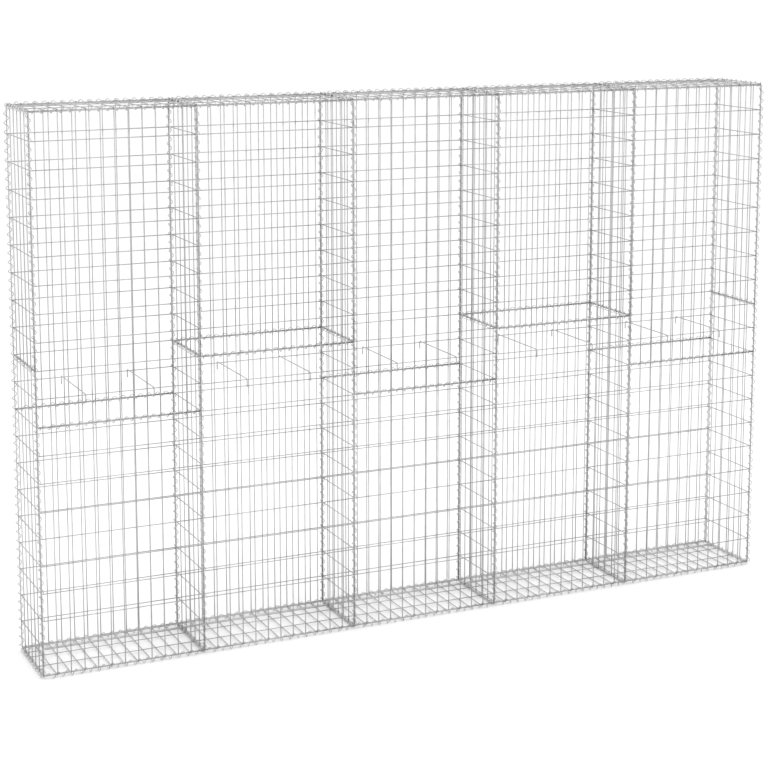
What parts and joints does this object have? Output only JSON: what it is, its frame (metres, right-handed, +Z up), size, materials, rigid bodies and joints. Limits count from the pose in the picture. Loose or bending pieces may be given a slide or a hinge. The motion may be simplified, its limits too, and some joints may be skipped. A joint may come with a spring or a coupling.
{
  "type": "gabion wall",
  "caption": "Free-standing run of empty welded-mesh gabion cages with floors, lids and dividers, laced along every edge with spiral binders and braced by tie hooks.",
  "frame": {"origin": "on the ground under the middle of the wall", "axes": "+X along the wall, +Y from the front to the back, +Z up"},
  "size_m": [3.0394, 0.3354, 2.0299],
  "materials": {
    "mesh_wire": "satin",
    "spiral_wire": "satin",
    "tie_wire": "satin"
  },
  "bodies": {
    "root": {"front_lower_panel_1": "mesh_wire", "front_lower_panel_2": "mesh_wire", "front_lower_panel_3": "mesh_wire", "front_lower_panel_4": "mesh_wire", "front_lower_panel_5": "mesh_wire", "front_upper_panel_1": "mesh_wire", "front_upper_panel_2": "mesh_wire", "front_upper_panel_3": "mesh_wire", "front_upper_panel_4": "mesh_wire", "front_upper_panel_5": "mesh_wire", "back_lower_panel_1": "mesh_wire", "back_lower_panel_2": "mesh_wire", "back_lower_panel_3": "mesh_wire", "back_lower_panel_4": "mesh_wire", "back_lower_panel_5": "mesh_wire", "back_upper_panel_1": "mesh_wire", "back_upper_panel_2": "mesh_wire", "back_upper_panel_3": "mesh_wire", "back_upper_panel_4": "mesh_wire", "back_upper_panel_5": "mesh_wire", "left_end_lower_panel": "mesh_wire", "divider_lower_panel_1": "mesh_wire", "divider_lower_panel_2": "mesh_wire", "divider_lower_panel_3": "mesh_wire", "divider_lower_panel_4": "mesh_wire", "right_end_lower_panel": "mesh_wire", "left_end_upper_panel": "mesh_wire", "divider_upper_panel_1": "mesh_wire", "divider_upper_panel_2": "mesh_wire", "divider_upper_panel_3": "mesh_wire", "divider_upper_panel_4": "mesh_wire", "right_end_upper_panel": "mesh_wire", "floor_panel_1": "mesh_wire", "floor_panel_2": "mesh_wire", "floor_panel_3": "mesh_wire", "floor_panel_4": "mesh_wire", "floor_panel_5": "mesh_wire", "lid_panel_1": "mesh_wire", "lid_panel_2": "mesh_wire", "lid_panel_3": "mesh_wire", "lid_panel_4": "mesh_wire", "lid_panel_5": "mesh_wire", "upright_spirals": "spiral_wire", "bottom_spirals": "spiral_wire", "joint_spirals": "spiral_wire", "top_spirals": "spiral_wire", "tie_hooks": "tie_wire"}
  },
  "joints": []
}
